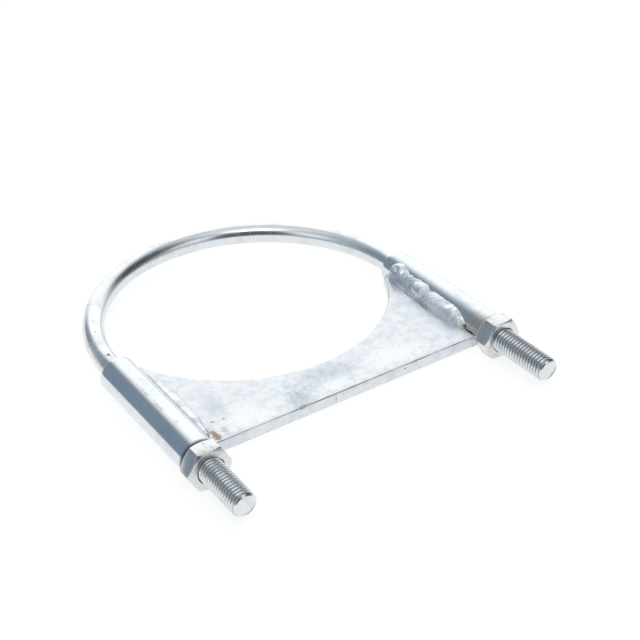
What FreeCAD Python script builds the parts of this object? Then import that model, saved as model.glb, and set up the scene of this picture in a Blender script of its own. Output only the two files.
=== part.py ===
"""U-clamp: a threaded U-bolt that carries a welded saddle, drawn up by two hexagon nuts.

The legs' axes lie in the plane Z = 0 and run along Y. The origin is the centre of the bend, where the
middle of a clamped pipe lies. The bend is towards +Y, the threaded ends point towards -Y, and +Z is up
with the clamp lying flat. All lengths are in millimetres.
"""

import FreeCAD
import Part
import math
import os

# U-bolt
inside_width = 128.0          # between the legs, for a 127 mm pipe
rod_diameter = 9.0            # plain bar, thinner than the thread that is rolled on it
leg_length = 100.3            # from the centre of the bend to the end of a leg
thread_diameter = 10.0
thread_length = 50.0
thread_end_chamfer = 1.0

# Sleeves, two short tubes that slide on the legs
sleeve_clearance = 0.5        # around the thread
sleeve_wall = 2.0
sleeve_length = 64.5
sleeve_reach = 70.4           # from the centre of the bend to the left sleeve's front end
sleeve_stagger = 3.5          # the right sleeve sits this much further back
sleeve_edge = 0.4             # chamfer on the outer edge of each end

# Saddle plate between the sleeves
plate_thickness = 5.0
plate_depth = 20.0            # from the middle of the seat to the front edge
plate_drop = 2.3              # from the legs' plane down to the middle of the plate
plate_setback = 1.3           # front edge behind the right sleeve's front end
plate_edge = 0.4              # chamfer along the seat and the front edge
seat_radius = 65.0            # round hollow that takes the pipe
horn_setback = 0.6            # blunt horn tips in front of the left sleeve's rear end

# Welds, each a run of overlapping lobes: (length along the sleeve, radius, centre above the plate)
right_lobes = ((17.0, 4.4, 3.4), (20.0, 4.6, 2.4), (26.0, 4.3, 2.0))
left_lobes = ((18.0, 3.4, 0.8), (25.0, 4.2, 1.0), (19.0, 3.5, 0.8))
lobe_taper = 2.4              # at each end of a lobe
lobe_overlap = 5.0
lobe_inset = 0.5              # lobe centres beyond the sleeve's side
right_weld_start = 4.0        # weld's rear end in front of its sleeve's rear end
left_weld_start = 2.5

# Nuts
nut_across_flats = 16.0
nut_thickness = 7.2
nut_face_step = 0.4           # flat end face inside the flats, all round
nut_chamfer_angle = 30.0
nut_countersink = 0.5
thread_clearance = 0.05       # nut bore around the thread

# Derived sizes and places
leg_x = (inside_width + rod_diameter) / 2
sleeve_bore = thread_diameter + 2 * sleeve_clearance
sleeve_radius = sleeve_bore / 2 + sleeve_wall
left_front = -sleeve_reach
right_front = left_front + sleeve_stagger
plate_front = right_front + plate_setback
plate_top = plate_thickness / 2 - plate_drop
seat_centre = plate_front + plate_depth + seat_radius
horn_tip = left_front + sleeve_length - horn_setback

ALONG_LEG = FreeCAD.Vector(0, 1, 0)


def vector(x, y, z=0.0):
    return FreeCAD.Vector(x, y, z)


def turned(profile, x, z=0.0):
    """Solid of revolution about the line along the leg through x and z, from (radius, y) points."""
    points = [vector(x + radius, y, z) for radius, y in profile]
    face = Part.Face(Part.makePolygon(points + points[:1]))
    return face.revolve(vector(x, 0, z), ALONG_LEG, 360)


def leg_cylinder(x, radius, start, end):
    """Plain cylinder on the leg at x, from y = start to y = end."""
    return Part.makeCylinder(radius, end - start, vector(x, start), ALONG_LEG)


def make_u_bolt():
    """Half-round bend with two straight legs, each stepping up to its rolled thread."""
    rod = rod_diameter / 2
    thread = thread_diameter / 2
    end = -leg_length
    runout = end + thread_length
    step = thread - rod
    leg_profile = [
        (0, 0),
        (rod, 0),
        (rod, runout + step),
        (thread, runout),
        (thread, end + thread_end_chamfer),
        (thread - thread_end_chamfer, end),
        (0, end),
    ]
    section = Part.Face(Part.Wire(Part.makeCircle(rod, vector(leg_x, 0), ALONG_LEG)))
    bend = section.revolve(vector(0, 0), vector(0, 0, 1), 180)
    legs = [turned(leg_profile, side * leg_x) for side in (-1, 1)]
    return bend.fuse(legs).removeSplitter()


def make_sleeve(side, front):
    """Tube on one leg, with a small chamfer round each cut end."""
    rear = front + sleeve_length
    bore = sleeve_bore / 2
    edge = sleeve_radius - sleeve_edge
    profile = [
        (bore, front),
        (edge, front),
        (sleeve_radius, front + sleeve_edge),
        (sleeve_radius, rear - sleeve_edge),
        (edge, rear),
        (bore, rear),
    ]
    return turned(profile, side * leg_x)


def cope(side):
    """Full round of a sleeve, past the whole depth of the plate, to trim what butts against it."""
    return leg_cylinder(side * leg_x, sleeve_radius, plate_front - plate_depth, seat_centre)


def make_blank():
    """Plate blank with the round seat, its long edges chamfered, reaching into both sleeves."""
    horn_x = math.sqrt(seat_radius ** 2 - (seat_centre - horn_tip) ** 2)
    seat_middle = plate_front + plate_depth
    corners = [
        vector(horn_x, horn_tip),
        vector(leg_x, horn_tip),
        vector(leg_x, plate_front),
        vector(-leg_x, plate_front),
        vector(-leg_x, horn_tip),
        vector(-horn_x, horn_tip),
    ]
    seat = Part.Arc(corners[-1], vector(0, seat_middle), corners[0]).toShape()
    outline = Part.Wire([seat] + Part.makePolygon(corners).Edges)
    blank = Part.Face(outline).extrude(vector(0, 0, plate_thickness))
    blank.translate(vector(0, 0, plate_top - plate_thickness))
    faces = (seat_middle, plate_front)
    long_edges = [
        edge for edge in blank.Edges
        if edge.BoundBox.ZLength < plate_edge
        and any(abs(edge.BoundBox.YMin - y) < plate_edge for y in faces)
        and edge.BoundBox.XLength > leg_x
    ]
    return blank.makeChamfer(plate_edge, long_edges)


def make_plate():
    """Saddle plate, coped on both sides to lie against the sleeves."""
    return make_blank().cut([cope(-1), cope(1)])


def make_lobe(x, z, rear, length, radius):
    """One weld lobe: a round grain that lies along the sleeve in front of y = rear, tapered at both ends."""
    front = rear - length
    tip = radius - lobe_taper
    profile = [
        (0, rear),
        (tip, rear),
        (radius, rear - lobe_taper),
        (radius, front + lobe_taper),
        (tip, front),
        (0, front),
    ]
    return turned(profile, x, z)


def make_weld(side, sleeve_front, start, lobes, plate):
    """Fillet weld in the corner of a sleeve and the plate, as a run of overlapping lobes."""
    x = side * (leg_x - sleeve_radius + lobe_inset)
    rear = sleeve_front + sleeve_length - start
    grains = []
    for length, radius, lift in lobes:
        grains.append(make_lobe(x, plate_top + lift, rear, length, radius))
        rear -= length - lobe_overlap
    run = grains[0].fuse(grains[1:])
    return run.cut([cope(side), plate])


def make_nut(side, back):
    """Hexagon nut with a flat on top, chamfered on both faces, its back against a sleeve."""
    x = side * leg_x
    front = back - nut_thickness
    corner = nut_across_flats / math.sqrt(3)
    face_radius = nut_across_flats / 2 - nut_face_step
    slope = math.tan(math.radians(nut_chamfer_angle))
    shoulder = (corner - face_radius) * slope
    corners = [
        vector(x + corner * math.cos(math.radians(60 * i)), back, corner * math.sin(math.radians(60 * i)))
        for i in range(6)
    ]
    hexagon = Part.Face(Part.makePolygon(corners + corners[:1])).extrude(vector(0, -nut_thickness, 0))
    round_blank = turned(
        [
            (0, back),
            (face_radius, back),
            (corner, back - shoulder),
            (corner, front + shoulder),
            (face_radius, front),
            (0, front),
        ],
        x,
    )
    bore = thread_diameter / 2 + thread_clearance
    hole = turned(
        [
            (0, back),
            (bore + nut_countersink, back),
            (bore, back - nut_countersink),
            (bore, front + nut_countersink),
            (bore + nut_countersink, front),
            (0, front),
        ],
        x,
    )
    return hexagon.common(round_blank).cut(hole)


def main():
    plate = make_plate()
    parts = {
        "u_bolt": make_u_bolt(),
        "saddle_plate": plate,
        "sleeve_left": make_sleeve(-1, left_front),
        "sleeve_right": make_sleeve(1, right_front),
        "weld_left": make_weld(-1, left_front, left_weld_start, left_lobes, plate),
        "weld_right": make_weld(1, right_front, right_weld_start, right_lobes, plate),
        "nut_left": make_nut(-1, left_front),
        "nut_right": make_nut(1, right_front),
    }
    os.makedirs("parts", exist_ok=True)
    for name, shape in parts.items():
        shape.exportStep(f"parts/{name}.step")
        print(f"{name}: {len(shape.Solids)} solid, {shape.Volume:.1f} mm3, valid {shape.isValid()}")


main()
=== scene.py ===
# %% [markdown]
# # A zinc-plated U-clamp
#
# The clamp is a bent bar with two threaded legs, a welded saddle that rides on the legs, and two nuts.
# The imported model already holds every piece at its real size. This lesson dresses those pieces: it gives
# the legs a real thread, rounds the edges, pours lumpy welds and mixes a bright zinc finish.

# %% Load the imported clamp
import math

import bmesh
import bpy
from mathutils import Matrix, Vector, noise


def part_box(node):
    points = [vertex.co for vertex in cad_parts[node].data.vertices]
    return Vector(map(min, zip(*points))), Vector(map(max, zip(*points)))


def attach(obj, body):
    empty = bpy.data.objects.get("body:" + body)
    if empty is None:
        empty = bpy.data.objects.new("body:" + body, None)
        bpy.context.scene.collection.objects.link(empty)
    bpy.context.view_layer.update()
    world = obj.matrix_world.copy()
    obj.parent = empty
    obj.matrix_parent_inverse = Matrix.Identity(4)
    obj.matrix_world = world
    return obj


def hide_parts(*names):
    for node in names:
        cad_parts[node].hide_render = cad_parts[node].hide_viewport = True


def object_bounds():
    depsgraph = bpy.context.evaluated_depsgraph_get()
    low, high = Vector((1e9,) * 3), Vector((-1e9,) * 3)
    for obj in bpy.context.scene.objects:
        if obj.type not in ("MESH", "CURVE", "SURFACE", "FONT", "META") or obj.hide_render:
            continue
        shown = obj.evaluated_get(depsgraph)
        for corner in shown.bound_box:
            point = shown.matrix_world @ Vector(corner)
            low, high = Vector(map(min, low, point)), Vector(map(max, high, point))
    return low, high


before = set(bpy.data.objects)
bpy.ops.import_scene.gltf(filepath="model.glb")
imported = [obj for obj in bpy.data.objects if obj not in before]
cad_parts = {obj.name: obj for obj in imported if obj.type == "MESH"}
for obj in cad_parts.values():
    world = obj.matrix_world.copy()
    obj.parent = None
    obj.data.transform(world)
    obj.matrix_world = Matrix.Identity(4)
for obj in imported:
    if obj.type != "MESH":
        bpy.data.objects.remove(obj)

cad_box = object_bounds()
print("nodes:", ", ".join(sorted(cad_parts)))

# %% [markdown]
# ## Sizes
#
# A dressed piece has to lie exactly where its solid lies, so the main sizes are read from the solids'
# boxes. Only what a box can't tell, such as the thread's pitch, is written here as a number. All lengths
# are in metres, and MM turns a size in millimetres into one.

# %% Read the sizes from the solids
MM = 0.001
bolt_low, bolt_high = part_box("u_bolt")
nut_low, nut_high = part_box("nut_right")
sleeve_low, sleeve_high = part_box("sleeve_right")
plate_low, plate_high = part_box("saddle_plate")

leg_x = (nut_low.x + nut_high.x) / 2
leg_end = bolt_low.y
bar_radius = bolt_high.y - leg_x
thread_radius = bolt_high.x - leg_x
sleeve_radius = (sleeve_high.z - sleeve_low.z) / 2
nut_flats = nut_high.z - nut_low.z
floor_height = cad_box[0].z
along_leg = Vector((0, 1, 0))
print(f"leg at x {leg_x / MM:.2f} mm, bar {2 * bar_radius / MM:.2f} mm across")
print(f"thread {2 * thread_radius / MM:.2f} mm across, nut {nut_flats / MM:.2f} mm across its flats")

# %% [markdown]
# ## Node helpers
#
# A finish is a small network of nodes. Placing each node by hand takes three lines, so one helper adds a
# node, sets its options and either links or fills its inputs. Sums, noise, mixing and ramps each get a
# short helper on top of it. Another one starts a node group: a group is built once and then placed in
# every finish that needs it, each time with its own values.


# %% Helpers for nodes and node groups
def add_node(tree, kind, inputs=None, **options):
    """Add a node; each input takes either a value or another node's output."""
    node = tree.nodes.new(kind)
    for name, value in options.items():
        setattr(node, name, value)
    for name, value in (inputs or {}).items():
        if isinstance(value, bpy.types.NodeSocket):
            tree.links.new(value, node.inputs[name])
        else:
            node.inputs[name].default_value = value
    return node


def math_node(tree, operation, first, second=0.0, third=0.0, clamp=False):
    """One sum on two or three values; returns the result."""
    inputs = {0: first, 1: second, 2: third}
    return add_node(tree, "ShaderNodeMath", inputs, operation=operation, use_clamp=clamp).outputs[0]


def vector_node(tree, operation, first, second=(0, 0, 0)):
    """One sum on two vectors; returns the node's outputs."""
    return add_node(tree, "ShaderNodeVectorMath", {0: first, 1: second}, operation=operation).outputs


def noise_value(tree, place, scale, detail, roughness=0.5, distortion=0.0):
    """Cloudy noise, mostly between 0 and 1."""
    inputs = {
        "Vector": place,
        "Scale": scale,
        "Detail": detail,
        "Roughness": roughness,
        "Distortion": distortion,
    }
    return add_node(tree, "ShaderNodeTexNoise", inputs).outputs["Fac"]


def mix_colour(tree, factor, first, second):
    """Blend two colours; returns the result."""
    node = add_node(tree, "ShaderNodeMix", {"Factor": factor}, data_type="RGBA")
    for name, value in (("A", first), ("B", second)):
        socket = next(s for s in node.inputs if s.name == name and s.type == "RGBA")
        if isinstance(value, bpy.types.NodeSocket):
            tree.links.new(value, socket)
        else:
            socket.default_value = value
    return next(s for s in node.outputs if s.type == "RGBA")


def ramp(tree, value, low, high, start=0.0, end=1.0):
    """Stretch a value from one range to another, with soft ends."""
    inputs = {"Value": value, "From Min": low, "From Max": high, "To Min": start, "To Max": end}
    node = add_node(tree, "ShaderNodeMapRange", inputs, interpolation_type="SMOOTHSTEP")
    return node.outputs["Result"]


def start_group(name, inputs, outputs):
    """New shader node group; inputs are (name, kind, value), outputs are (name, kind)."""
    group = bpy.data.node_groups.new(name, "ShaderNodeTree")
    for title, kind, value in inputs:
        socket = group.interface.new_socket(title, in_out="INPUT", socket_type=kind)
        socket.default_value = value
    for title, kind in outputs:
        group.interface.new_socket(title, in_out="OUTPUT", socket_type=kind)
    return group, group.nodes.new("NodeGroupInput").outputs, group.nodes.new("NodeGroupOutput")


def millimetres(tree):
    """Place on the piece, in millimetres."""
    place = add_node(tree, "ShaderNodeTexCoord").outputs["Object"]
    scaled = add_node(tree, "ShaderNodeVectorMath", {0: place, "Scale": 1 / MM}, operation="SCALE")
    return scaled.outputs[0]


FLOAT, COLOUR, VECTOR = "NodeSocketFloat", "NodeSocketColor", "NodeSocketVector"
print("node helpers ready")

# %% [markdown]
# ## The cloudy bloom of zinc
#
# Electroplated zinc isn't one even mirror. It has cloudy patches, bright where the plating is thick and
# dull blue-grey where it is thin or has been handled, and a fine grain all over. One group makes this for
# every finish: a broad noise gives the clouds, a finer one breaks up their edges, and both also change
# how sharp the reflections are. Its inputs set the two tones, the clouds' size and softness, and the gloss.


# %% Group: zinc bloom
# how far the grain shifts the clouds' edges and the roughness, and what it and the clouds add to the relief
GRAIN_SWING = 0.3
GRAIN_ROUGHEN = 0.5
GRAIN_RELIEF = 0.3
CLOUD_RELIEF = 0.7


def make_bloom_group():
    group, given, result = start_group(
        "zinc_bloom",
        [
            ("Bright", COLOUR, (0.9, 0.92, 0.94, 1)),
            ("Dull", COLOUR, (0.6, 0.64, 0.7, 1)),
            ("Cloud Size", FLOAT, 8.0),
            ("Cloud Level", FLOAT, 0.5),
            ("Softness", FLOAT, 0.15),
            ("Gloss", FLOAT, 0.2),
            ("Matt", FLOAT, 0.45),
        ],
        [("Color", COLOUR), ("Roughness", FLOAT), ("Height", FLOAT)],
    )
    place = millimetres(group)
    cloud_scale = math_node(group, "DIVIDE", 1.0, given["Cloud Size"])
    cloud = noise_value(group, place, cloud_scale, detail=7.0, roughness=0.62, distortion=0.5)
    grain = noise_value(group, place, scale=1.7, detail=4.0, roughness=0.7)
    soft_edge = math_node(group, "MULTIPLY_ADD", grain, GRAIN_SWING, -GRAIN_SWING / 2)
    broken = math_node(group, "ADD", cloud, soft_edge)
    upper = math_node(group, "ADD", given["Cloud Level"], given["Softness"])
    lower = math_node(group, "SUBTRACT", given["Cloud Level"], given["Softness"])
    mask = ramp(group, broken, lower, upper)
    colour = mix_colour(group, mask, given["Bright"], given["Dull"])
    span = math_node(group, "SUBTRACT", given["Matt"], given["Gloss"])
    rough = math_node(group, "MULTIPLY_ADD", mask, span, given["Gloss"])
    rough = math_node(group, "MULTIPLY_ADD", soft_edge, GRAIN_ROUGHEN, rough, clamp=True)
    height = math_node(group, "MULTIPLY", cloud, CLOUD_RELIEF)
    height = math_node(group, "MULTIPLY_ADD", grain, GRAIN_RELIEF, height)
    for name, value in (("Color", colour), ("Roughness", rough), ("Height", height)):
        group.links.new(value, result.inputs[name])
    return group


bloom_group = make_bloom_group()
print("group:", bloom_group.name)

# %% [markdown]
# ## Stains and pits
#
# Next to the welds the plating is burnt to a brown tint, and a few small pits show dark metal. A stain
# has a place and a size, so its group measures how far a point lies from the centre, as a share of the
# stain's half size in each direction, and roughens the edge with noise. A long thin size gives a line.
# The same mask places fresh patches, where the zinc is smoother and so mirrors more of the white room, and
# patches of painted highlight and painted shade on the bar and the welds.
# Pits have no fixed place: a cell pattern scatters them, and only a few cells keep one.

# %% Groups: patch of stain and painted light at a place, scattered pits
# swing of a ragged edge, and the share of a stain's or a pit's size that is at full strength
EDGE_RAGGED = 4.0
PATCH_CORE = 0.3
PIT_CORE = 0.4


def make_stain_and_painted_light_group():
    group, given, result = start_group(
        "stain_and_painted_light_at",
        [("Centre", VECTOR, (0, 0, 0)), ("Size", VECTOR, (5, 5, 5)), ("Ragged", FLOAT, 0.6)],
        [("Mask", FLOAT)],
    )
    place = millimetres(group)
    away = vector_node(group, "SUBTRACT", place, given["Centre"])["Vector"]
    share = vector_node(group, "DIVIDE", away, given["Size"])["Vector"]
    near = vector_node(group, "LENGTH", share)["Value"]
    ragged = noise_value(group, place, scale=0.7, detail=6.0, roughness=0.75)
    swing = math_node(group, "MULTIPLY", math_node(group, "SUBTRACT", ragged, 0.5), given["Ragged"])
    swing = math_node(group, "MULTIPLY", swing, EDGE_RAGGED)
    mask = ramp(group, math_node(group, "ADD", near, swing), PATCH_CORE, 1.0, start=1.0, end=0.0)
    group.links.new(mask, result.inputs["Mask"])
    return group


def make_pit_group():
    group, given, result = start_group(
        "scattered_pits",
        [("Spacing", FLOAT, 9.0), ("Size", FLOAT, 0.5), ("Share", FLOAT, 0.3)],
        [("Mask", FLOAT)],
    )
    place = millimetres(group)
    scale = math_node(group, "DIVIDE", 1.0, given["Spacing"])
    cells = add_node(group, "ShaderNodeTexVoronoi", {"Vector": place, "Scale": scale, "Randomness": 1.0})
    tint = add_node(group, "ShaderNodeSeparateColor", {"Color": cells.outputs["Color"]})
    kept = math_node(group, "LESS_THAN", tint.outputs["Red"], given["Share"])
    ragged = noise_value(group, place, scale=2.5, detail=2.0)
    distance = math_node(group, "MULTIPLY", cells.outputs["Distance"], given["Spacing"])
    distance = math_node(group, "MULTIPLY", distance, math_node(group, "ADD", ragged, 0.5))
    inner = math_node(group, "MULTIPLY", given["Size"], PIT_CORE)
    spot = ramp(group, distance, inner, given["Size"], start=1.0, end=0.0)
    group.links.new(math_node(group, "MULTIPLY", spot, kept), result.inputs["Mask"])
    return group


stain_and_painted_light_group = make_stain_and_painted_light_group()
pit_group = make_pit_group()
print("groups:", stain_and_painted_light_group.name, pit_group.name)

# %% [markdown]
# ## Handling marks
#
# The plate was sheared, welded and tumbled, so it carries faint scratches. A noise that is stretched a
# lot in one direction gives fine streaks; two of them at an angle look like random handling.

# %% Group: fine scratches
# stretch of each set of streaks, and its turn in radians from the first set
STREAKS = (((0.05, 2.6, 0.05), 0.0), ((0.08, 3.4, 0.08), 1.3))

# noise at which a streak starts, and at which it is at full strength
STREAK_FROM = 0.6
STREAK_FULL = 0.72


def make_scratch_group():
    group, given, result = start_group(
        "fine_scratches", [("Turn", FLOAT, 0.4), ("Amount", FLOAT, 0.5)], [("Mask", FLOAT)]
    )
    place = millimetres(group)
    streaks = []
    for stretch, offset in STREAKS:
        angle = math_node(group, "ADD", given["Turn"], offset)
        turned = add_node(
            group, "ShaderNodeVectorRotate", {"Vector": place, "Angle": angle}, rotation_type="Z_AXIS"
        ).outputs[0]
        drawn = vector_node(group, "MULTIPLY", turned, stretch)["Vector"]
        lines = noise_value(group, drawn, scale=1.0, detail=3.0)
        streaks.append(ramp(group, lines, STREAK_FROM, STREAK_FULL))
    both = math_node(group, "MAXIMUM", streaks[0], streaks[1])
    group.links.new(math_node(group, "MULTIPLY", both, given["Amount"]), result.inputs["Mask"])
    return group


scratch_group = make_scratch_group()
print("group:", scratch_group.name)

# %% [markdown]
# ## Finishes
#
# Every piece has the same plating on a different surface: drawn bar, sheared plate, cut tube, weld metal
# and a machined nut. So one function mixes a finish from the groups, and each piece's call sets its own
# tones, gloss and marks. Painted shade in the thread's roots, in the gap beside each nut and along the
# plate's front edge, a real dark line round the plate's seat and a thin dark line at the welds' toes come
# from an attribute that a piece carries on its vertices. The shader itself stays in the material, with its
# metal value set directly.

# %% Mix one zinc finish
# colour of the vertex attribute: mostly painted shade, and a real dark line round the plate's seat
SHADE_AND_GRIME = (0.10, 0.10, 0.11)
PIT = (0.10, 0.09, 0.08)
FRESH_TONE = (0.80, 0.82, 0.835)

# what each mark adds to the roughness, and how deep it lies as a share of the finish's bump
PATCH_WEAR = (0.2, 0.1)
FRESH_WEAR = (-0.2, 0.0)
PIT_WEAR = (0.4, 0.8)
SCRATCH_WEAR = (0.15, 0.15)
SHADE_AND_GRIME_WEAR = (0.3, 0.0)


def place_group(tree, group, settings):
    """Put a node group in a finish and fill its inputs."""
    node = add_node(tree, "ShaderNodeGroup", node_tree=group)
    for title, value in settings.items():
        node.inputs[title].default_value = value
    return node


def zinc_finish(name, tones, clouds, gloss, bump, stains_and_painted_light=(), fresh=(), pits=None, scratches=0.0, metal=1.0):
    """Zinc plate over steel.

    tones: bright and dull colour; clouds: size in mm, level and softness; gloss: least and most roughness;
    stains_and_painted_light: (centre, half size, raggedness, colour, strength) of each stain and each
    patch of painted light, in mm; fresh: (centre, half size, raggedness) of each smooth bright patch;
    pits: spacing, size and share;
    metal: below 1 where a chalky bloom covers part of the metal.
    """
    material = bpy.data.materials.new(name)
    material.use_nodes = True
    tree = material.node_tree
    shader = tree.nodes["Principled BSDF"]
    shader.inputs["Metallic"].default_value = metal
    bloom = place_group(
        tree,
        bloom_group,
        {
            "Bright": (*tones[0], 1),
            "Dull": (*tones[1], 1),
            "Cloud Size": clouds[0],
            "Cloud Level": clouds[1],
            "Softness": clouds[2],
            "Gloss": gloss[0],
            "Matt": gloss[1],
        },
    )
    colour, rough, height = (bloom.outputs[n] for n in ("Color", "Roughness", "Height"))

    def wear(mask, roughen, sink):
        """Change the roughness where the mask is, and sink the finish a little."""
        nonlocal rough, height
        rough = math_node(tree, "MULTIPLY_ADD", mask, roughen, rough, clamp=True)
        height = math_node(tree, "MULTIPLY_ADD", mask, -sink, height)

    def lay_over(mask, tint, mark):
        """Lay a tint over the finish where the mask is, with the wear of such a mark."""
        nonlocal colour
        colour = mix_colour(tree, mask, colour, (*tint, 1))
        wear(mask, *mark)

    def patch(centre, size, ragged):
        """Mask of one ragged patch."""
        settings = {"Centre": centre, "Size": size, "Ragged": ragged}
        return place_group(tree, stain_and_painted_light_group, settings).outputs["Mask"]

    for place in fresh:
        lay_over(patch(*place), FRESH_TONE, FRESH_WEAR)
    # each stain, and each patch of painted highlight and painted shade
    for *place, tint, strength in stains_and_painted_light:
        lay_over(math_node(tree, "MULTIPLY", patch(*place), strength), tint, PATCH_WEAR)
    if pits:
        spots = place_group(tree, pit_group, dict(zip(("Spacing", "Size", "Share"), pits)))
        lay_over(spots.outputs["Mask"], PIT, PIT_WEAR)
    if scratches:
        wear(place_group(tree, scratch_group, {"Amount": scratches}).outputs["Mask"], *SCRATCH_WEAR)
    # the vertex attribute lays painted shade, and the real dark line round the plate's seat
    shade_and_grime = add_node(tree, "ShaderNodeAttribute", attribute_name="shade_and_grime").outputs["Fac"]
    lay_over(shade_and_grime, SHADE_AND_GRIME, SHADE_AND_GRIME_WEAR)
    relief = add_node(tree, "ShaderNodeBump", {"Strength": 1.0, "Distance": bump * MM, "Height": height})
    results = {"Base Color": colour, "Roughness": rough, "Normal": relief.outputs["Normal"]}
    for title, value in results.items():
        tree.links.new(value, shader.inputs[title])
    print("finish:", name)
    return material


# %% [markdown]
# ## The bar's finish
#
# The tones are those of bright zinc: a pale blue-white where it is fresh, and a greyer blue where it is
# dull. Drawn bar is smooth, so its finish is even and glossy, with hardly a pit. Stains could be painted
# on an image, but a place and a size in millimetres need no image and stay sharp at any distance.

# %% Tints of stains and of painted light, and the finish of the bar
BURNT = (0.36, 0.22, 0.12)
STRAW = (0.68, 0.60, 0.50)
RUST = (0.13, 0.085, 0.05)
SMOKE = (0.38, 0.37, 0.37)
MIST = (0.64, 0.71, 0.77)
# painted highlight on the broad lobes of the right weld
PAINTED_WELD_HIGHLIGHT = (0.95, 0.95, 0.96)
# painted shade at the lower toe of the right weld
PAINTED_TOE_SHADE = (0.52, 0.57, 0.62)
# painted highlight on the outer side of the left leg, where the bend starts
PAINTED_BAR_HIGHLIGHT = (0.93, 0.92, 0.89)
# painted dark reflection on the knob of the right weld
PAINTED_DARK_REFLECTION = (0.40, 0.45, 0.51)

zinc_bar = zinc_finish(
    "zinc_bar",
    ((0.755, 0.79, 0.81), (0.655, 0.69, 0.715)),
    (10, 0.58, 0.12),
    (0.21, 0.33),
    0.04,
    stains_and_painted_light=[
        ((-68.2, 1.6, 4.5), (1.0, 1.2, 1.0), 0.6, PIT, 0.9),
        ((-68.0, -1.5, 4.5), (1.2, 3.0, 1.0), 0.6, STRAW, 0.5),
        ((-65.4, 19.4, 4.0), (0.8, 1.0, 0.8), 0.6, PIT, 0.8),
        # painted highlight: a pale patch on the outer side of the left leg near the bend
        ((-71.5, 8.0, 1.0), (5.0, 13.0, 6.0), 0.4, PAINTED_BAR_HIGHLIGHT, 0.8),
    ],
    pits=(7.0, 0.4, 0.04),
)

# %% [markdown]
# ## The plate's finish
#
# The plate is rolled steel, which is rougher than bar, and the heat of welding left it cloudy and stained.
# A chalky bloom covers part of the metal, so this finish is a little less metallic than the others.

# %% Finish of the plate
zinc_plate = zinc_finish(
    "zinc_plate",
    ((0.855, 0.885, 0.905), (0.725, 0.78, 0.825)),
    (3.5, 0.57, 0.22),
    (0.40, 0.54),
    0.05,
    stains_and_painted_light=[
        ((-49.0, -46.0, 0.2), (6.0, 14.0, 9.0), 0.6, MIST, 0.3),
        ((-3.0, -53.0, 0.2), (20.0, 7.0, 5.0), 0.9, MIST, 0.5),
        ((-20.0, -60.5, 0.2), (7.0, 7.0, 1.5), 1.0, MIST, 0.7),
        ((-57.4, -61.5, 0.2), (2.0, 5.5, 1.0), 0.5, BURNT, 0.8),
        ((60.9, -61.8, 0.2), (0.4, 4.5, 0.5), 0.3, RUST, 0.95),
        ((59.6, -58.0, 0.2), (1.6, 2.2, 1.5), 0.6, STRAW, 0.6),
        ((-22.5, -65.0, 0.0), (2.5, 1.6, 1.2), 0.6, SMOKE, 0.6),
        ((-7.2, -65.6, -2.3), (0.25, 0.8, 2.6), 0.6, SMOKE, 0.9),
        ((25.5, -65.6, -1.5), (1.2, 0.6, 0.5), 0.6, SMOKE, 0.8),
        ((-54.4, -53.9, 0.2), (0.9, 1.2, 0.6), 0.8, SMOKE, 0.6),
        ((-50.1, -54.6, 0.2), (0.7, 0.9, 0.6), 0.8, SMOKE, 0.7),
        ((-53.0, -61.0, 0.2), (1.8, 3.0, 0.8), 1.0, SMOKE, 0.4),
    ],
    fresh=[
        ((-42.0, -58.5, 0.2), (13.0, 9.5, 2.0), 0.6),
        ((26.0, -57.0, 0.2), (17.0, 8.5, 2.0), 0.7),
        ((-4.0, -60.0, 0.2), (8.0, 4.5, 2.0), 0.7),
    ],
    pits=(9.0, 0.45, 0.12),
    scratches=0.6,
    metal=0.85,
)

# %% [markdown]
# ## The sleeves' finish
#
# Tube has the smoothest skin of all and mirrors most. The stains follow the welds: straw and brown where
# the heat reached, rust where the plating burnt through, and a few smoky specks along the left tube.

# %% Finish of the sleeves
zinc_sleeve = zinc_finish(
    "zinc_sleeve",
    ((0.74, 0.79, 0.825), (0.64, 0.69, 0.735)),
    (9, 0.58, 0.12),
    (0.12, 0.22),
    0.02,
    stains_and_painted_light=[
        ((63.4, -63.5, 4.6), (6.0, 6.5, 6.5), 0.6, STRAW, 0.85),
        ((61.1, -62.0, 0.5), (0.4, 4.6, 0.6), 0.3, RUST, 0.95),
        ((61.2, -58.6, 1.2), (0.8, 1.6, 1.3), 0.6, RUST, 0.9),
        ((-64.5, -69.0, 5.5), (4.0, 2.5, 3.0), 0.6, STRAW, 0.6),
        ((-61.2, -66.0, 1.5), (1.0, 4.5, 1.5), 0.6, BURNT, 0.7),
        ((-70.0, -26.0, 7.3), (0.6, 1.0, 0.8), 0.7, SMOKE, 0.25),
        ((-69.9, -32.5, 7.3), (0.8, 2.8, 0.9), 1.3, SMOKE, 0.4),
        ((-69.5, -38.8, 7.4), (0.5, 0.7, 0.7), 0.7, SMOKE, 0.35),
        ((-70.0, -43.0, 7.3), (0.9, 3.4, 0.9), 1.4, SMOKE, 0.35),
        ((-69.3, -55.0, 7.4), (0.6, 1.2, 0.8), 1.0, SMOKE, 0.3),
    ],
    pits=(6.0, 0.35, 0.07),
)

# %% [markdown]
# ## The welds' finish
#
# A painted highlight lightens the broad lobes, painted shade darkens their lower toe, and the knob at the
# end is painted dark for the dark room it mirrors.
# Small clouds and more bump than elsewhere give it a crusty skin.

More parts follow.
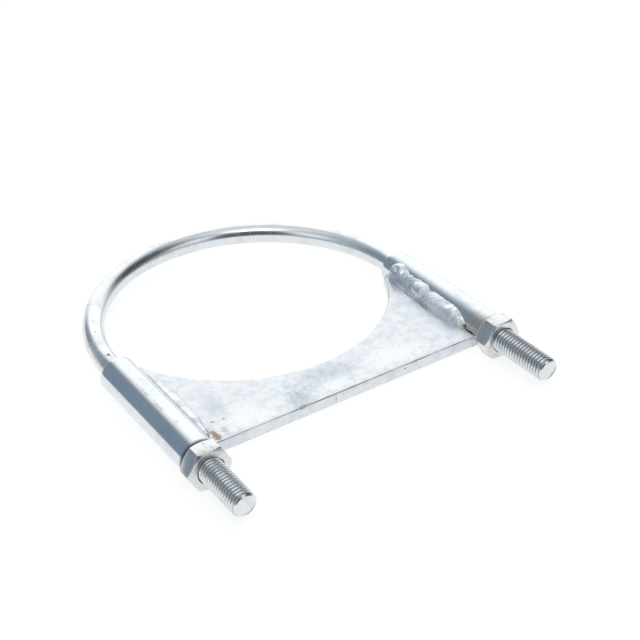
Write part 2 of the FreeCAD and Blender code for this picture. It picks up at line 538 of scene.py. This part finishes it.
# %% Finish of the welds
zinc_weld = zinc_finish(
    "zinc_weld",
    ((0.80, 0.84, 0.87), (0.63, 0.67, 0.72)),
    (4, 0.56, 0.14),
    (0.35, 0.50),
    0.06,
    stains_and_painted_light=[
        # painted highlight: a pale patch on the broad lobes, for the light they mirror
        ((58.5, -43.0, 2.0), (5.0, 15.0, 5.0), 0.5, PAINTED_WELD_HIGHLIGHT, 0.8),
        # painted dark reflection: the knob darkened for the dark room it mirrors
        ((59.5, -13.5, 2.6), (4.2, 7.0, 4.0), 0.4, PAINTED_DARK_REFLECTION, 0.9),
        # painted shade along the lower toe of the middle lobes
        ((57.4, -35.0, 0.9), (2.6, 7.0, 2.2), 0.5, PAINTED_TOE_SHADE, 0.9),
        ((60.4, -57.8, 1.5), (1.8, 2.0, 2.0), 0.6, STRAW, 0.8),
        ((61.0, -58.6, 1.0), (0.9, 1.4, 1.2), 0.6, RUST, 0.9),
        ((-59.4, -60.0, 1.0), (1.6, 4.0, 2.0), 0.6, BURNT, 0.7),
    ],
    fresh=[((61.2, -49.5, 4.8), (3.2, 7.0, 2.6), 0.6)],
    pits=(5.0, 0.3, 0.04),
)

# %% [markdown]
# ## The nuts' finish
#
# The nuts come from another bath, so their zinc is a little warmer. They are machined, with little bump.

# %% Finish of the nuts
zinc_nut = zinc_finish(
    "zinc_nut",
    ((0.735, 0.75, 0.75), (0.605, 0.605, 0.58)),
    (5, 0.58, 0.12),
    (0.22, 0.34),
    0.02,
    stains_and_painted_light=[
        ((-63.0, -76.5, 4.0), (2.5, 2.0, 4.0), 0.6, STRAW, 0.5),
        ((-68.0, -77.0, -7.0), (5.0, 1.5, 2.0), 0.6, STRAW, 0.6),
        ((-68.1, -72.1, 8.0), (0.7, 0.7, 0.7), 0.6, SMOKE, 0.8),
    ],
    pits=(6.0, 0.3, 0.06),
)

# %% [markdown]
# ## From a bmesh to a piece
#
# Every piece ends the same way: doubles are merged, normals point outwards, painted shade and dark lines
# are written on the vertices, the mesh is shaded smooth with sharp edges kept, the piece is hung on the
# empty of its body, and the solid of the same name is hidden.

# %% Finish a piece
MERGE = 0.002 * MM


def finish_piece(bm, name, body, material, sharp_angle=40, shade_and_grime=None):
    """Make the bmesh a piece that stands for the solid of the same name and rides on its body."""
    bmesh.ops.remove_doubles(bm, verts=bm.verts, dist=MERGE)
    bmesh.ops.recalc_face_normals(bm, faces=bm.faces)
    layer = bm.verts.layers.float.new("shade_and_grime")
    for vert in bm.verts:
        vert[layer] = shade_and_grime(vert) if shade_and_grime else 0.0
    mesh = bpy.data.meshes.new(name + "_look")
    bm.to_mesh(mesh)
    bm.free()
    mesh.shade_smooth()
    mesh.set_sharp_from_angle(angle=math.radians(sharp_angle))
    mesh.materials.append(material)
    piece = bpy.data.objects.new(name + "_look", mesh)
    bpy.context.scene.collection.objects.link(piece)
    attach(piece, body)
    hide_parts(name)
    mesh.calc_loop_triangles()
    print(f"{piece.name}: {len(mesh.loop_triangles)} triangles")


# %% [markdown]
# ## The thread's form
#
# A rolled metric thread has 60 degree flanks, narrow flat crests and rounded roots. Its surface is a
# radius that depends on two things: how far along the leg a point lies, and how far round it is. One turn
# round moves the pattern one pitch along, and that makes it a helix. Writing the radius as a function lets
# the studs and the nuts share one thread, so they stay in step when a nut turns.

# %% Radius of the thread at a place
PITCH = 1.5 * MM
THREAD_DEPTH = 0.92 * MM
CREST_HALF = PITCH / 16
FLANK_SLOPE = math.tan(math.radians(60))


def turn_about_leg(place, x):
    """How far round its leg a place lies, by the right hand about +Y."""
    return math.atan2(place.x - x, place.z)


def thread_surface(place, x):
    """Radius of a right-hand thread on the leg at x."""
    phase = (place.y / PITCH - turn_about_leg(place, x) / math.tau) % 1.0
    from_crest = abs(phase - 0.5) * PITCH
    drop = (from_crest - CREST_HALF) * FLANK_SLOPE
    return thread_radius - min(max(drop, 0.0), THREAD_DEPTH)


def radius_of(vert, x):
    """Distance of a vertex from the axis of the leg at x."""
    return math.hypot(vert.co.x - x, vert.co.z)


def set_radius(vert, x, radius):
    """Move a vertex straight out from, or in to, the axis of the leg at x."""
    away = Vector((vert.co.x - x, 0, vert.co.z))
    away *= radius / away.length
    vert.co = Vector((x + away.x, vert.co.y, away.z))


print(f"thread: pitch {PITCH / MM} mm, root {(thread_radius - THREAD_DEPTH) / MM:.2f} mm from the axis")

# %% [markdown]
# ## The U-bolt
#
# The bar is one round section carried along a U. A circle spun half a turn about the middle of the bend
# makes the bend, and the ring at each end is extruded along its leg. The thread is made as a lathe would
# cut it: a line of points along the leg is screwed once round, moving one pitch along, so that every row of
# faces follows the helix. Two planes trim it, and its points are pushed in to the thread's radius. Where
# the thread runs out it fades to the plain bar, and a cone limits the radius at the end, as the chamfer
# on a real stud does.

# %% Screw a thread
BAR_SEGMENTS = 64
PITCH_POINTS = 12
SPARE_TURNS = 2
TRIM_SLACK = 1e-4 * MM


def screw_thread(x, start, end):
    """Threaded wall of the leg at x from y = start down to y = end, still plain, as a new bmesh."""
    bm = bmesh.new()
    first = bm.verts.new((x, end - PITCH, thread_radius))
    rows = math.ceil((start - end) / PITCH + SPARE_TURNS) * PITCH_POINTS
    step = along_leg * PITCH / PITCH_POINTS
    bmesh.ops.spin(bm, geom=[first], cent=(x, 0, 0), axis=along_leg, dvec=step, angle=0, steps=rows)
    bmesh.ops.spin(
        bm,
        geom=[*bm.verts, *bm.edges],
        cent=(x, 0, 0),
        axis=along_leg,
        dvec=along_leg * PITCH / BAR_SEGMENTS,
        angle=math.tau,
        steps=BAR_SEGMENTS,
    )
    bmesh.ops.remove_doubles(bm, verts=bm.verts, dist=MERGE)
    for y, outwards in ((start, 1), (end, -1)):
        everything = [*bm.verts, *bm.edges, *bm.faces]
        bmesh.ops.bisect_plane(
            bm,
            geom=everything,
            dist=TRIM_SLACK,
            plane_co=(x, y, 0),
            plane_no=along_leg * outwards,
            clear_outer=True,
        )
    return bm


# %% Bend the bar and join the threads to it
BEND_STEPS = 120
PLAIN_STEPS = 24
THREAD_LENGTH = 50 * MM
THREAD_JOIN = 0.2 * MM
RUNOUT = 3 * MM
END_CHAMFER = 1.0 * MM
# darkness of the painted shade in the thread's roots
ROOT_SHADE = 0.7
SAME_PLACE = 1e-3 * MM


def draw_out(bm, edges):
    """Extrude edges in place; returns the new vertices."""
    made = bmesh.ops.extrude_edge_only(bm, edges=edges)["geom"]
    return [g for g in made if isinstance(g, bmesh.types.BMVert)]


def carry(bm, ring, shift, steps):
    """Extrude a ring of edges straight along a leg and cut the wall into steps."""
    ends = draw_out(bm, ring)
    bmesh.ops.translate(bm, verts=ends, vec=shift)
    wall = [e for v in ends for e in v.link_edges if e.other_vert(v) not in ends]
    bmesh.ops.subdivide_edges(bm, edges=wall, cuts=steps - 1)


def add_bmesh(bm, other):
    """Put another bmesh's faces into this one."""
    mesh = bpy.data.meshes.new("other")
    other.to_mesh(mesh)
    other.free()
    bm.from_mesh(mesh)
    bpy.data.meshes.remove(mesh)


def open_ring(bm, x, y):
    """Open edges at y round the leg at x."""
    near = {v for v in bm.verts if abs(v.co.y - y) < SAME_PLACE and abs(v.co.x - x) < sleeve_radius}
    return [e for e in bm.edges if e.is_boundary and e.verts[0] in near and e.verts[1] in near]


def make_u_bolt():
    bm = bmesh.new()
    upright = Matrix.Translation((leg_x, 0, 0)) @ Matrix.Rotation(math.pi / 2, 4, "X")
    circle = bmesh.ops.create_circle(bm, segments=BAR_SEGMENTS, radius=bar_radius, matrix=upright)
    right_ring = list(bm.edges)
    bent = bmesh.ops.spin(
        bm,
        geom=[*circle["verts"], *right_ring],
        cent=(0, 0, 0),
        axis=(0, 0, 1),
        angle=math.pi,
        steps=BEND_STEPS,
    )
    left_ring = [e for e in bent["geom_last"] if isinstance(e, bmesh.types.BMEdge)]
    thread_start = leg_end + THREAD_LENGTH
    plain_end = thread_start + THREAD_JOIN
    for ring in (right_ring, left_ring):
        carry(bm, ring, along_leg * plain_end, PLAIN_STEPS)
    for x in (leg_x, -leg_x):
        thread = screw_thread(x, thread_start, leg_end)
        for vert in thread.verts:
            fade = min((thread_start - vert.co.y) / RUNOUT, 1.0)
            radius = bar_radius + (thread_surface(vert.co, x) - bar_radius) * fade
            limit = thread_radius - END_CHAMFER + (vert.co.y - leg_end)
            set_radius(vert, x, min(radius, limit))
        add_bmesh(bm, thread)
        bmesh.ops.bridge_loops(bm, edges=open_ring(bm, x, plain_end) + open_ring(bm, x, thread_start))
        bmesh.ops.contextual_create(bm, geom=open_ring(bm, x, leg_end))

    def painted_root_shade(vert):
        """Painted shade: most in the thread's roots, none on its crests."""
        if not leg_end + END_CHAMFER < vert.co.y <= thread_start - RUNOUT:
            return 0.0
        depth = (thread_radius - radius_of(vert, math.copysign(leg_x, vert.co.x))) / THREAD_DEPTH
        return ROOT_SHADE * min(max(depth, 0.0), 1.0) ** 2

    finish_piece(bm, "u_bolt", "u_bolt", zinc_bar, sharp_angle=50, shade_and_grime=painted_root_shade)


make_u_bolt()

# %% [markdown]
# ## The sleeves
#
# Each sleeve is a cut length of tube. Its wall is a rectangle spun once round the leg, and the rims are
# then bevelled, because a cut end that has been tumbled and plated is never quite sharp.

# %% Spin the sleeves
SLEEVE_WALL = 2.0 * MM
SLEEVE_SEGMENTS = 128
OUTER_RIM = 0.45 * MM
INNER_RIM = 0.25 * MM
RIM_SEGMENTS = 3
RIM_BAND = 2.4 * MM
# length of the painted shade at the sleeve's front end, next to its nut
GAP_BAND = 0.6 * RIM_BAND
SLACK = 0.01 * MM


def spin_profile(bm, profile, x, steps):
    """Spin a closed outline of (radius, y) points once round the leg at x."""
    verts = [bm.verts.new((x + radius, y, 0)) for radius, y in profile]
    edges = [bm.edges.new((a, b)) for a, b in zip(verts, verts[1:] + verts[:1])]
    bmesh.ops.spin(
        bm,
        geom=[*verts, *edges],
        cent=(x, 0, 0),
        axis=along_leg,
        angle=math.tau,
        steps=steps,
        use_merge=True,
    )
    bmesh.ops.remove_doubles(bm, verts=bm.verts, dist=MERGE)


def ring_edges(bm, x, radius, y):
    """Edges of the ring that has this radius and place on the leg at x."""
    near = {v for v in bm.verts if abs(v.co.y - y) < SLACK and abs(radius_of(v, x) - radius) < SLACK}
    return [e for e in bm.edges if e.verts[0] in near and e.verts[1] in near]


def round_edges(bm, edges, width, segments, clamp=False):
    """Bevel edges to a round of this width."""
    bmesh.ops.bevel(
        bm,
        geom=edges,
        offset=width,
        offset_type="OFFSET",
        affect="EDGES",
        segments=segments,
        profile=0.5,
        material=-1,
        clamp_overlap=clamp,
    )


def make_sleeve(name, side, gap_shade):
    low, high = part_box(name)
    x = side * leg_x
    bore = sleeve_radius - SLEEVE_WALL
    bm = bmesh.new()
    outline = [
        (bore, low.y),
        (sleeve_radius, low.y),
        (sleeve_radius, low.y + RIM_BAND / 2),
        (sleeve_radius, low.y + RIM_BAND),
        (sleeve_radius, high.y - RIM_BAND),
        (sleeve_radius, high.y),
        (bore, high.y),
    ]
    spin_profile(bm, outline, x, SLEEVE_SEGMENTS)
    for radius, rim in ((sleeve_radius, OUTER_RIM), (bore, INNER_RIM)):
        rims = ring_edges(bm, x, radius, low.y) + ring_edges(bm, x, radius, high.y)
        round_edges(bm, rims, rim, RIM_SEGMENTS)

    def painted_gap_shade(vert):
        """Painted shade in the narrow gap between the sleeve's front end and its nut."""
        return gap_shade if vert.co.y < low.y + GAP_BAND else 0.0

    finish_piece(bm, name, "saddle", zinc_sleeve, shade_and_grime=painted_gap_shade)


# darkness of the painted shade at each sleeve's front end
make_sleeve("sleeve_left", -1, gap_shade=0.9)
make_sleeve("sleeve_right", 1, gap_shade=0.15)

# %% [markdown]
# ## The saddle plate
#
# The plate is a strip with a round seat on one side. One vertex spun about the seat's centre draws the
# seat; its edges are drawn out to the straight front, and the two ends are drawn out into the sleeves.
# That gives clean columns of faces, which are cut across, extruded down to the plate's thickness and
# bevelled along the seat and the front.

# %% Draw out the plate
SEAT_RADIUS = 65.0 * MM
PLATE_DEPTH = 20.0 * MM
SEAT_STEPS = 96
PLATE_ROWS = 16
PLATE_EDGE = 0.4 * MM
INTO_SLEEVE = 0.4 * MM
# darkness of the line on the plate's top edge: painted shade along the front, a real dark line round the
# seat
FRONT_EDGE_SHADE = 0.75
SEAT_GRIME = 0.45
EDGE_WAVE = 9.0 * MM
EDGE_MEAN = 0.6
EDGE_SWING = 1.2
EDGE_LINE_FROM = 0.02 * MM
EDGE_LINE_TO = 0.9 * PLATE_EDGE
SQUARE_SLACK = 0.1


def make_plate():
    front, tip, top = plate_low.y, plate_high.y, plate_high.z
    thickness = plate_high.z - plate_low.z
    seat_centre = Vector((0, front + PLATE_DEPTH + SEAT_RADIUS, top))
    half_turn = math.acos((seat_centre.y - tip) / SEAT_RADIUS)
    bm = bmesh.new()
    to_left_tip = Vector((-math.sin(half_turn), -math.cos(half_turn), 0)) * SEAT_RADIUS
    first = bm.verts.new(seat_centre + to_left_tip)
    bmesh.ops.spin(
        bm,
        geom=[first],
        cent=seat_centre,
        axis=(0, 0, 1),
        angle=2 * half_turn,
        steps=SEAT_STEPS,
    )
    seat = list(bm.edges)
    for vert in draw_out(bm, seat):
        vert.co.y = front
    columns = [e for e in bm.edges if abs(e.verts[0].co.x - e.verts[1].co.x) < SAME_PLACE]
    bmesh.ops.subdivide_edges(bm, edges=columns, cuts=PLATE_ROWS)
    horn_x = SEAT_RADIUS * math.sin(half_turn)
    for side in (-1, 1):
        end = [e for e in bm.edges if all(abs(v.co.x - side * horn_x) < SAME_PLACE for v in e.verts)]
        for vert in draw_out(bm, end):
            vert.co.x = side * (leg_x - sleeve_radius + INTO_SLEEVE)
    under = bmesh.ops.extrude_face_region(bm, geom=bm.faces[:], use_keep_orig=True)["geom"]
    under_verts = [g for g in under if isinstance(g, bmesh.types.BMVert)]
    bmesh.ops.translate(bm, verts=under_verts, vec=(0, 0, -thickness))
    for vert in under_verts:
        if abs(vert.co.x) > leg_x - sleeve_radius:
            reach = math.sqrt(sleeve_radius ** 2 - vert.co.z ** 2) - INTO_SLEEVE
            vert.co.x = math.copysign(leg_x - reach, vert.co.x)
    bmesh.ops.recalc_face_normals(bm, faces=bm.faces)
    long_edges = [
        e
        for e in bm.edges
        if abs(e.verts[0].co.z - e.verts[1].co.z) < SAME_PLACE
        and len(e.link_faces) == 2
        and abs(e.calc_face_angle(0) - math.pi / 2) < SQUARE_SLACK
        and all(abs(v.co.x) < leg_x - sleeve_radius for v in e.verts)
    ]
    round_edges(bm, long_edges, PLATE_EDGE, RIM_SEGMENTS, clamp=True)

    def edge_shade_and_grime(vert):
        """A broken dark line along the rounded top edge: painted shade along the front, and a fainter real
        dark line round the seat.
        """
        if not top - EDGE_LINE_TO < vert.co.z < top - EDGE_LINE_FROM:
            return 0.0
        line = FRONT_EDGE_SHADE if vert.co.y < front + PLATE_EDGE else SEAT_GRIME
        patchy = EDGE_MEAN + EDGE_SWING * noise.noise(vert.co / EDGE_WAVE)
        return line * min(max(patchy, 0.0), 1.0)

    finish_piece(bm, "saddle_plate", "saddle", zinc_plate, shade_and_grime=edge_shade_and_grime)


make_plate()

# %% [markdown]
# ## The welds
#
# A hand-laid weld is a row of frozen puddles in the corner between the plate and the sleeve. Each puddle
# starts as a stretched ball. Most lean on the slope from the plate up to the sleeve, and flatter ones on
# top give each lobe a shoulder. A voxel remesh melts the row into one skin, smoothing takes out the steps,
# and a little noise makes it uneven. What would lie inside the sleeve's bore is pushed back into its near
# wall, so the weld never touches the bar. The arc leaves a faint ripple along the run, and a small crater
# where it was broken off.

# %% Where each puddle lies
# each puddle in mm: place along y, into the sleeve and up from the plate, then its half length along the
# sleeve, half width up the slope and half thickness, and its lean in degrees
RIGHT_PUDDLES = (
    (-12.9, 3.5, 0.6, 6.6, 6.6, 5.4, 42),
    (-12.6, 2.6, 2.6, 5.4, 4.4, 4.4, 0),
    (-17.0, 2.8, 0.7, 5.4, 6.4, 4.4, 42),
    (-16.6, 3.2, 1.9, 5.2, 4.6, 4.0, 25),
    (-21.0, 2.4, 0.5, 7.0, 6.2, 4.4, 42),
    (-25.5, 2.3, 0.6, 6.6, 6.4, 4.4, 42),
    (-30.5, 2.2, 0.6, 5.2, 6.7, 4.5, 42),
    (-29.0, 1.7, 2.5, 6.4, 4.2, 3.3, 14),
    (-38.5, 1.6, -0.1, 12.0, 6.4, 4.7, 42),
    (-47.0, 1.6, -0.1, 12.0, 6.4, 4.7, 42),
    (-41.0, 1.2, 2.0, 9.0, 4.6, 3.2, 12),
    (-49.0, 1.2, 1.9, 8.5, 4.6, 3.2, 12),
    (-54.8, 1.2, 0.4, 5.2, 4.6, 3.0, 42),
)
LEFT_PUDDLES = (
    (-15.0, 0.5, 0.4, 7.0, 3.1, 2.4, 20),
    (-24.0, 0.4, 0.8, 11.0, 4.2, 3.0, 20),
    (-35.0, 0.3, 1.0, 15.0, 4.8, 3.3, 20),
    (-46.0, 0.3, 0.8, 13.0, 4.5, 3.1, 20),
    (-55.0, 0.5, 0.4, 8.0, 3.5, 2.6, 20),
)
print("puddles:", len(LEFT_PUDDLES), "on the left,", len(RIGHT_PUDDLES), "on the right")

# %% Melt puddles into one skin
VOXEL = 0.30 * MM


def melted(bm):
    """The bmesh's balls as one voxel skin, in a new bmesh."""
    mesh = bpy.data.meshes.new("puddles")
    bm.to_mesh(mesh)
    bm.free()
    balls = bpy.data.objects.new("puddles", mesh)
    bpy.context.scene.collection.objects.link(balls)
    remesh = balls.modifiers.new("melt", "REMESH")
    remesh.mode = "VOXEL"
    remesh.voxel_size = VOXEL
    skin = balls.evaluated_get(bpy.context.evaluated_depsgraph_get()).to_mesh()
    joined = bmesh.new()
    joined.from_mesh(skin)
    bpy.data.objects.remove(balls)
    bpy.data.meshes.remove(mesh)
    return joined


# %% Pour the welds
BALL_DETAIL = 4
SMOOTH_SHARE = 0.5
WELD_WAVE = 4.5 * MM
INTO_METAL = 0.5 * MM
DEEPEST = 5.5 * MM
TOE_BAND = 0.35 * MM
CORNER_X = leg_x - sleeve_radius
PLATE_TOP = plate_high.z
RIPPLE = 2.6 * MM
CRATER = Vector((60.8, -12.6, 6.2)) * MM
CRATER_SIZE = 2.3 * MM
CRATER_DEPTH = 1.0 * MM

# layers of the swelling noise: how fast they weaken, how much finer each one is and how many there are
SWELL_LAYERS = (0.9, 2.0, 3)


def make_weld(name, side, puddles, smoothing, unevenness, ripple, toe):
    bm = bmesh.new()
    for along, inward, up, half_length, half_width, half_thickness, degrees in puddles:
        middle = Vector((side * (CORNER_X + inward * MM), along * MM, PLATE_TOP + up * MM))
        stretch = Matrix.Diagonal((half_width, half_length, half_thickness, 1.0))
        lean = Matrix.Rotation(-side * math.radians(degrees), 4, "Y")
        bmesh.ops.create_icosphere(
            bm, subdivisions=BALL_DETAIL, radius=MM, matrix=Matrix.Translation(middle) @ lean @ stretch
        )
    bm = melted(bm)
    for _ in range(smoothing):
        bmesh.ops.smooth_vert(
            bm,
            verts=bm.verts,
            factor=SMOOTH_SHARE,
            use_axis_x=True,
            use_axis_y=True,
            use_axis_z=True,
        )
    bm.normal_update()
    x = side * leg_x
    for vert in bm.verts:
        swell = noise.fractal(vert.co / WELD_WAVE, *SWELL_LAYERS)
        wave = math.sin(math.tau * (vert.co.y / RIPPLE + swell))
        crater = max(1.0 - (vert.co - CRATER).length / CRATER_SIZE, 0.0)
        vert.co += vert.normal * (swell * unevenness + wave * ripple - crater * CRATER_DEPTH)
        vert.co.x = side * min(side * vert.co.x, CORNER_X + DEEPEST)
        vert.co.z = max(vert.co.z, PLATE_TOP - INTO_METAL)
        if radius_of(vert, x) < sleeve_radius - INTO_METAL:
            set_radius(vert, x, sleeve_radius - INTO_METAL)

    def toe_dark_line(vert):
        """A thin dark line where the weld meets the plate and the sleeve."""
        clear = min(vert.co.z - PLATE_TOP, radius_of(vert, x) - sleeve_radius)
        return toe if clear < TOE_BAND else 0.0

    finish_piece(bm, name, "saddle", zinc_weld, sharp_angle=60, shade_and_grime=toe_dark_line)


make_weld("weld_left", -1, LEFT_PUDDLES, smoothing=30, unevenness=0.05 * MM, ripple=0.02 * MM, toe=0.4)
make_weld("weld_right", 1, RIGHT_PUDDLES, smoothing=14, unevenness=0.17 * MM, ripple=0.05 * MM, toe=0.0)

# %% [markdown]
# ## The nuts
#
# A nut is turned and hexagonal at once. A ring spun round the leg gives the faces, the countersinks and
# the bore; its rim is then drawn in to the hexagon, and the rim's height follows the 30 degree chamfer, so
# the curved line on each flat comes out by itself. The bore takes the thread's radius, a little wider.

# %% Spin the nuts and draw in the hexagon
NUT_SEGMENTS = 96
NUT_FACE_STEP = 0.4 * MM
CHAMFER_SLOPE = math.tan(math.radians(30))
COUNTERSINK = 0.55 * MM
THREAD_GAP = 0.06 * MM
BORE_RINGS = 72
NUT_EDGE = 0.14 * MM
NUT_EDGE_SEGMENTS = 2
EDGE_ANGLE = math.radians(12)


def hexagon_radius(angle):
    """Distance from the axis to a hexagon that has a corner at angle 0."""
    sixth = math.pi / 3
    return nut_flats / 2 / math.cos(angle % sixth - sixth / 2)


def make_nut(name, side):
    low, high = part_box(name)
    x = side * leg_x
    front, back = low.y, high.y
    face_radius = nut_flats / 2 - NUT_FACE_STEP
    corner = nut_flats / math.sqrt(3)
    mouth = thread_radius + COUNTERSINK
    rim = (corner - face_radius) * CHAMFER_SLOPE
    outline = [
        (mouth, front),
        (face_radius, front),
        (corner, front + rim),
        (corner, back - rim),
        (face_radius, back),
        (mouth, back),
    ]
    bm = bmesh.new()
    spin_profile(bm, outline, x, NUT_SEGMENTS)
    for vert in bm.verts:
        if radius_of(vert, x) > face_radius + NUT_FACE_STEP:
            angle = math.atan2(vert.co.z, vert.co.x - x)
            radius = hexagon_radius(angle)
            drop = (radius - face_radius) * CHAMFER_SLOPE
            vert.co.y = front + drop if vert.co.y < (front + back) / 2 else back - drop
            set_radius(vert, x, radius)
    bmesh.ops.recalc_face_normals(bm, faces=bm.faces)
    outer = [
        e
        for e in bm.edges
        if all(radius_of(v, x) > face_radius - NUT_FACE_STEP for v in e.verts)
        and e.calc_face_angle(0) > EDGE_ANGLE
    ]
    round_edges(bm, outer, NUT_EDGE, NUT_EDGE_SEGMENTS)
    bore = [
        e for e in bm.edges
        if abs(e.verts[0].co.y - e.verts[1].co.y) > (back - front) / 2
        and all(abs(radius_of(v, x) - mouth) < SLACK for v in e.verts)
    ]
    bmesh.ops.subdivide_edges(bm, edges=bore, cuts=BORE_RINGS)
    for vert in bm.verts:
        if radius_of(vert, x) < mouth + SLACK:
            depth = min(vert.co.y - front, back - vert.co.y)
            set_radius(vert, x, max(thread_surface(vert.co, x) + THREAD_GAP, mouth - depth))
    finish_piece(bm, name, name, zinc_nut)


make_nut("nut_left", -1)
make_nut("nut_right", 1)

# %% [markdown]
# ## Camera
#
# The photograph was taken from the front left, looking down on the clamp with a long lens. The aim, the
# two angles and the distance place the camera on that line of sight, and a small roll levels it.

# %% Place the camera
CAMERA_AIM = Vector((19.6, -15.6, -3.0)) * MM
CAMERA_DISTANCE = 526.9 * MM
CAMERA_AZIMUTH = math.radians(-33.99)
CAMERA_ELEVATION = math.radians(32.70)
CAMERA_ROLL = math.radians(-0.70)
CAMERA_LENS = 71.34
SENSOR_WIDTH = 36.0
CLIP_START = 0.01


def place_camera():
    data = bpy.data.cameras.new("camera")
    data.lens = CAMERA_LENS
    data.sensor_width = SENSOR_WIDTH
    data.clip_start = CLIP_START
    camera = bpy.data.objects.new("camera", data)
    bpy.context.scene.collection.objects.link(camera)
    level = math.cos(CAMERA_ELEVATION)
    across = level * math.sin(CAMERA_AZIMUTH)
    along = -level * math.cos(CAMERA_AZIMUTH)
    back = Vector((across, along, math.sin(CAMERA_ELEVATION)))
    look = (-back).to_track_quat("-Z", "Y").to_matrix().to_4x4()
    turn = look @ Matrix.Rotation(CAMERA_ROLL, 4, "Z")
    camera.matrix_world = Matrix.Translation(CAMERA_AIM + back * CAMERA_DISTANCE) @ turn
    bpy.context.scene.camera = camera
    return camera


camera = place_camera()
print("camera at", [round(v, 4) for v in camera.matrix_world.translation])

# %% [markdown]
# ## Floor
#
# The clamp lies on a white sheet. To a camera, and in the metal's reflections, the sheet also glows a
# little, so it comes out white without more light on the clamp; its own shading keeps the soft shadow.

# %% Lay the floor
FLOOR_RADIUS = 4.0
FLOOR_GLOW = 0.82
FLOOR_TONE = (0.3, 0.3, 0.3)
FLOOR_SEGMENTS = 96


def make_floor():
    bm = bmesh.new()
    lowered = Matrix.Translation((0, 0, floor_height))
    bmesh.ops.create_circle(
        bm, cap_ends=True, segments=FLOOR_SEGMENTS, radius=FLOOR_RADIUS, matrix=lowered
    )
    mesh = bpy.data.meshes.new("floor")
    bm.to_mesh(mesh)
    bm.free()
    floor = bpy.data.objects.new("floor", mesh)
    bpy.context.scene.collection.objects.link(floor)
    material = bpy.data.materials.new("white_sheet")
    material.use_nodes = True
    tree = material.node_tree
    shader = tree.nodes["Principled BSDF"]
    shader.inputs["Base Color"].default_value = (*FLOOR_TONE, 1)
    shader.inputs["Roughness"].default_value = 1.0
    shader.inputs["Specular IOR Level"].default_value = 0.0
    rays = add_node(tree, "ShaderNodeLightPath").outputs
    seen = math_node(tree, "ADD", rays["Is Camera Ray"], rays["Is Glossy Ray"])
    seen = math_node(tree, "ADD", seen, rays["Is Transmission Ray"], clamp=True)
    strength = math_node(tree, "MULTIPLY", seen, FLOOR_GLOW)
    shader.inputs["Emission Color"].default_value = (1, 1, 1, 1)
    tree.links.new(strength, shader.inputs["Emission Strength"])
    mesh.materials.append(material)


make_floor()
print("floor at", round(floor_height, 4))

# %% [markdown]
# ## Dark card
#
# Bright metal on a white floor loses its edges. A photographer stands a dark card beside it, so that a
# dark line runs along its side. This card is a low arc round the left of the clamp. It is there for
# reflections alone: the camera doesn't see it, and it casts no shadow.

# %% Stand the dark card
CARD_TONE = (0.24, 0.30, 0.365)
CARD_RADIUS = 0.125
CARD_HEIGHT = 0.03
CARD_START = math.radians(152)
CARD_SWEEP = math.radians(56)
CARD_STEPS = 48


def make_card():
    bm = bmesh.new()
    towards_start = Vector((math.cos(CARD_START), math.sin(CARD_START), 0))
    first = bm.verts.new(towards_start * CARD_RADIUS + Vector((0, 0, floor_height)))
    bmesh.ops.spin(
        bm, geom=[first], cent=(0, 0, 0), axis=(0, 0, 1), angle=CARD_SWEEP, steps=CARD_STEPS
    )
    top = draw_out(bm, list(bm.edges))
    bmesh.ops.translate(bm, verts=top, vec=(0, 0, CARD_HEIGHT))
    mesh = bpy.data.meshes.new("dark_card")
    bm.to_mesh(mesh)
    bm.free()
    card = bpy.data.objects.new("dark_card", mesh)
    bpy.context.scene.collection.objects.link(card)
    material = bpy.data.materials.new("dark_card")
    material.use_nodes = True
    shader = material.node_tree.nodes["Principled BSDF"]
    shader.inputs["Base Color"].default_value = (0, 0, 0, 1)
    shader.inputs["Specular IOR Level"].default_value = 0.0
    shader.inputs["Emission Color"].default_value = (*CARD_TONE, 1)
    shader.inputs["Emission Strength"].default_value = 1.0
    mesh.materials.append(material)
    card.visible_camera = False
    card.visible_diffuse = False
    card.visible_shadow = False


make_card()
print("card radius", CARD_RADIUS)

# %% [markdown]
# ## Light
#
# Bright metal shows its surroundings, so the light is the look. A white studio wraps round the clamp,
# brightest behind it, and a few darker fields give the dark bands on the bar and the sleeves. Each
# field is a soft round patch of the sky, given by its direction, its size and its tone.

# %% Paint the studio round the clamp
STUDIO_TONE = (0.48, 0.52, 0.56)

# each field: azimuth from +Y towards +X, elevation, inner and outer half angle in degrees, tone
STUDIO_FIELDS = (
    ("white wall behind", 31, 12, 27, 54, (1.3, 1.3, 1.3)),
    ("ceiling", 0, 90, 10, 36, (0.85, 0.87, 0.9)),
    ("lamp above the camera", -150, 64, 6, 16, (3.0, 3.0, 3.0)),
    ("left window", -108, 34, 8, 22, (0.97, 1.0, 1.02)),
    ("right window", 163, 31, 9, 22, (1.05, 1.07, 1.09)),
    ("dim room in front", -154, 23, 21, 34, (0.10, 0.105, 0.11)),
    ("blue-grey left", -36, 16, 25, 40, CARD_TONE),
    ("dark right", 110, 33, 16, 34, (0.07, 0.075, 0.08)),
)


def paint_studio():
    world = bpy.data.worlds.new("studio")
    world.use_nodes = True
    tree = world.node_tree
    direction = add_node(tree, "ShaderNodeTexCoord").outputs["Generated"]
    colour = add_node(tree, "ShaderNodeRGB").outputs[0]
    colour.default_value = (*STUDIO_TONE, 1)
    for title, azimuth, elevation, inner, outer, tone in STUDIO_FIELDS:
        around, up = math.radians(azimuth), math.radians(elevation)
        axis = (math.sin(around) * math.cos(up), math.cos(around) * math.cos(up), math.sin(up))
        facing = vector_node(tree, "DOT_PRODUCT", direction, axis)["Value"]
        outer_edge, inner_edge = (math.cos(math.radians(angle)) for angle in (outer, inner))
        share = ramp(tree, facing, outer_edge, inner_edge)
        colour = mix_colour(tree, share, colour, (*tone, 1))
        print("field:", title)
    tree.links.new(colour, tree.nodes["Background"].inputs["Color"])
    bpy.context.scene.world = world


paint_studio()
bpy.context.scene.view_settings.view_transform = "Standard"
